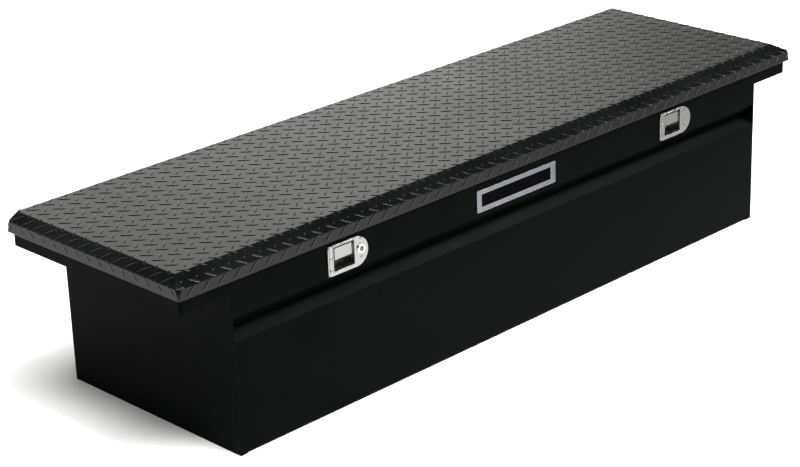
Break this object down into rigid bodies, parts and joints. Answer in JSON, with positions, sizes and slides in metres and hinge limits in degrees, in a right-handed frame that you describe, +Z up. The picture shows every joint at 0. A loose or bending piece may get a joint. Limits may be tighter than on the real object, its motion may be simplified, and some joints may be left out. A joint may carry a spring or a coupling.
{
  "type": "truck tool box",
  "caption": "Low-profile black crossover tool box for a pickup bed, with a tread-plate lid, saddle wings, paddle latches, key lock and gas struts.",
  "frame": {"origin": "on the ground under the middle of the outline, with the lid closed", "axes": "+X along the box, -Y the front with the latches, +Z up"},
  "size_m": [1.816, 0.514, 0.392],
  "materials": {
    "black_powder_coat": "smooth satin powder coat",
    "black_tread_plate": "satin powder coat over raised tread bars",
    "black_rubber": "matt",
    "hinge_steel": "brushed",
    "rivet_aluminium": "satin",
    "polished_stainless": "polished",
    "zinc_plated_steel": "bright zinc plate",
    "chrome_plate": "polished",
    "nameplate_aluminium": "brushed, bright raised border",
    "strut_black": "gloss",
    "strut_plastic": "moulded"
  },
  "bodies": {
    "tub": {"front_panel": "black_powder_coat", "rear_panel": "black_powder_coat", "floor_pan": "black_powder_coat", "drain_plugs": "black_rubber", "end_panel_left": "black_powder_coat", "end_panel_right": "black_powder_coat", "wing_left": "black_powder_coat", "wing_right": "black_powder_coat", "rim_front": "black_powder_coat", "rim_rear": "black_powder_coat", "rim_left": "black_powder_coat", "rim_right": "black_powder_coat", "rim_seal": "black_rubber", "hinge_leaf_tub": "hinge_steel", "hinge_pin": "hinge_steel", "hinge_rivets_tub": "rivet_aluminium", "latch_gasket_left": "black_rubber", "latch_gasket_right": "black_rubber", "latch_dish_left": "polished_stainless", "latch_dish_right": "polished_stainless", "paddle_pin_left": "zinc_plated_steel", "paddle_pin_right": "zinc_plated_steel", "paddle_spring_left": "zinc_plated_steel", "paddle_spring_right": "zinc_plated_steel", "latch_case_left": "zinc_plated_steel", "latch_case_right": "zinc_plated_steel", "hook_pin_left": "zinc_plated_steel", "hook_pin_right": "zinc_plated_steel", "latch_rivets": "polished_stainless", "lock_housing": "chrome_plate", "lock_nut": "zinc_plated_steel", "nameplate": "nameplate_aluminium", "strut_mount_tub_left": "zinc_plated_steel", "strut_mount_tub_right": "zinc_plated_steel"},
    "lid": {"lid_skin": "black_tread_plate", "lid_liner": "black_powder_coat", "lid_stiffeners": "black_powder_coat", "hinge_leaf_lid": "hinge_steel", "hinge_rivets_lid": "rivet_aluminium", "striker_left": "zinc_plated_steel", "striker_right": "zinc_plated_steel", "strut_mount_lid_left": "zinc_plated_steel", "strut_mount_lid_right": "zinc_plated_steel"},
    "paddle_left": {"paddle_left": "polished_stainless"},
    "hook_left": {"hook_left": "zinc_plated_steel"},
    "strut_tube_left": {"tube_end_left": "strut_plastic", "gas_tube_left": "strut_black"},
    "strut_rod_left": {"gas_rod_left": "chrome_plate", "rod_end_left": "strut_plastic"},
    "paddle_right": {"paddle_right": "polished_stainless"},
    "hook_right": {"hook_right": "zinc_plated_steel"},
    "strut_tube_right": {"tube_end_right": "strut_plastic", "gas_tube_right": "strut_black"},
    "strut_rod_right": {"gas_rod_right": "chrome_plate", "rod_end_right": "strut_plastic"},
    "lock": {"lock_plug": "chrome_plate", "lock_cam": "zinc_plated_steel"}
  },
  "joints": [
    {"name": "lid_hinge", "type": "hinge", "parent": "tub", "child": "lid", "pos_m": [0, 0.2541, 0.3506], "axis": [-1, 0, 0], "range_deg": [0, 70]},
    {"name": "paddle_left_pull", "type": "hinge", "parent": "tub", "child": "paddle_left", "pos_m": [-0.506, -0.2433, 0.3355], "axis": [-1, 0, 0], "range_deg": [0, 35], "stiffness_Nm_per_rad": 0.3, "springref_deg": -11.46},
    {"name": "hook_left_release", "type": "hinge", "parent": "tub", "child": "hook_left", "pos_m": [-0.506, -0.208, 0.318], "axis": [1, 0, 0], "range_deg": [0, 20]},
    {"name": "strut_left_lean", "type": "hinge", "parent": "tub", "child": "strut_tube_left", "pos_m": [-0.762, 0.1, 0.155], "axis": [-1, 0, 0], "range_deg": [0, 4.06]},
    {"name": "strut_left_extend", "type": "slide", "parent": "strut_tube_left", "child": "strut_rod_left", "axis": [0, 0.4384, 0.8988], "range_m": [0, 0.06043]},
    {"name": "paddle_right_pull", "type": "hinge", "parent": "tub", "child": "paddle_right", "pos_m": [0.482, -0.2433, 0.3355], "axis": [-1, 0, 0], "range_deg": [0, 35], "stiffness_Nm_per_rad": 0.3, "springref_deg": -11.46},
    {"name": "hook_right_release", "type": "hinge", "parent": "tub", "child": "hook_right", "pos_m": [0.482, -0.208, 0.318], "axis": [1, 0, 0], "range_deg": [0, 20]},
    {"name": "strut_right_lean", "type": "hinge", "parent": "tub", "child": "strut_tube_right", "pos_m": [0.762, 0.1, 0.155], "axis": [-1, 0, 0], "range_deg": [0, 4.06]},
    {"name": "strut_right_extend", "type": "slide", "parent": "strut_tube_right", "child": "strut_rod_right", "axis": [0, 0.4384, 0.8988], "range_m": [0, 0.06043]},
    {"name": "lock_turn", "type": "hinge", "parent": "tub", "child": "lock", "pos_m": [-0.462, -0.249, 0.317], "axis": [0, -1, 0], "range_deg": [0, 90]}
  ],
  "couplings": [
    {"joint": "hook_left_release", "follows": "paddle_left_pull", "ratio": 0.5714},
    {"joint": "strut_left_lean", "follows": "lid_hinge", "ratio": 0.057815},
    {"joint": "strut_left_extend", "follows": "lid_hinge", "m_per_rad": 0.049381},
    {"joint": "hook_right_release", "follows": "paddle_right_pull", "ratio": 0.5714},
    {"joint": "strut_right_lean", "follows": "lid_hinge", "ratio": 0.057815},
    {"joint": "strut_right_extend", "follows": "lid_hinge", "m_per_rad": 0.049381}
  ]
}
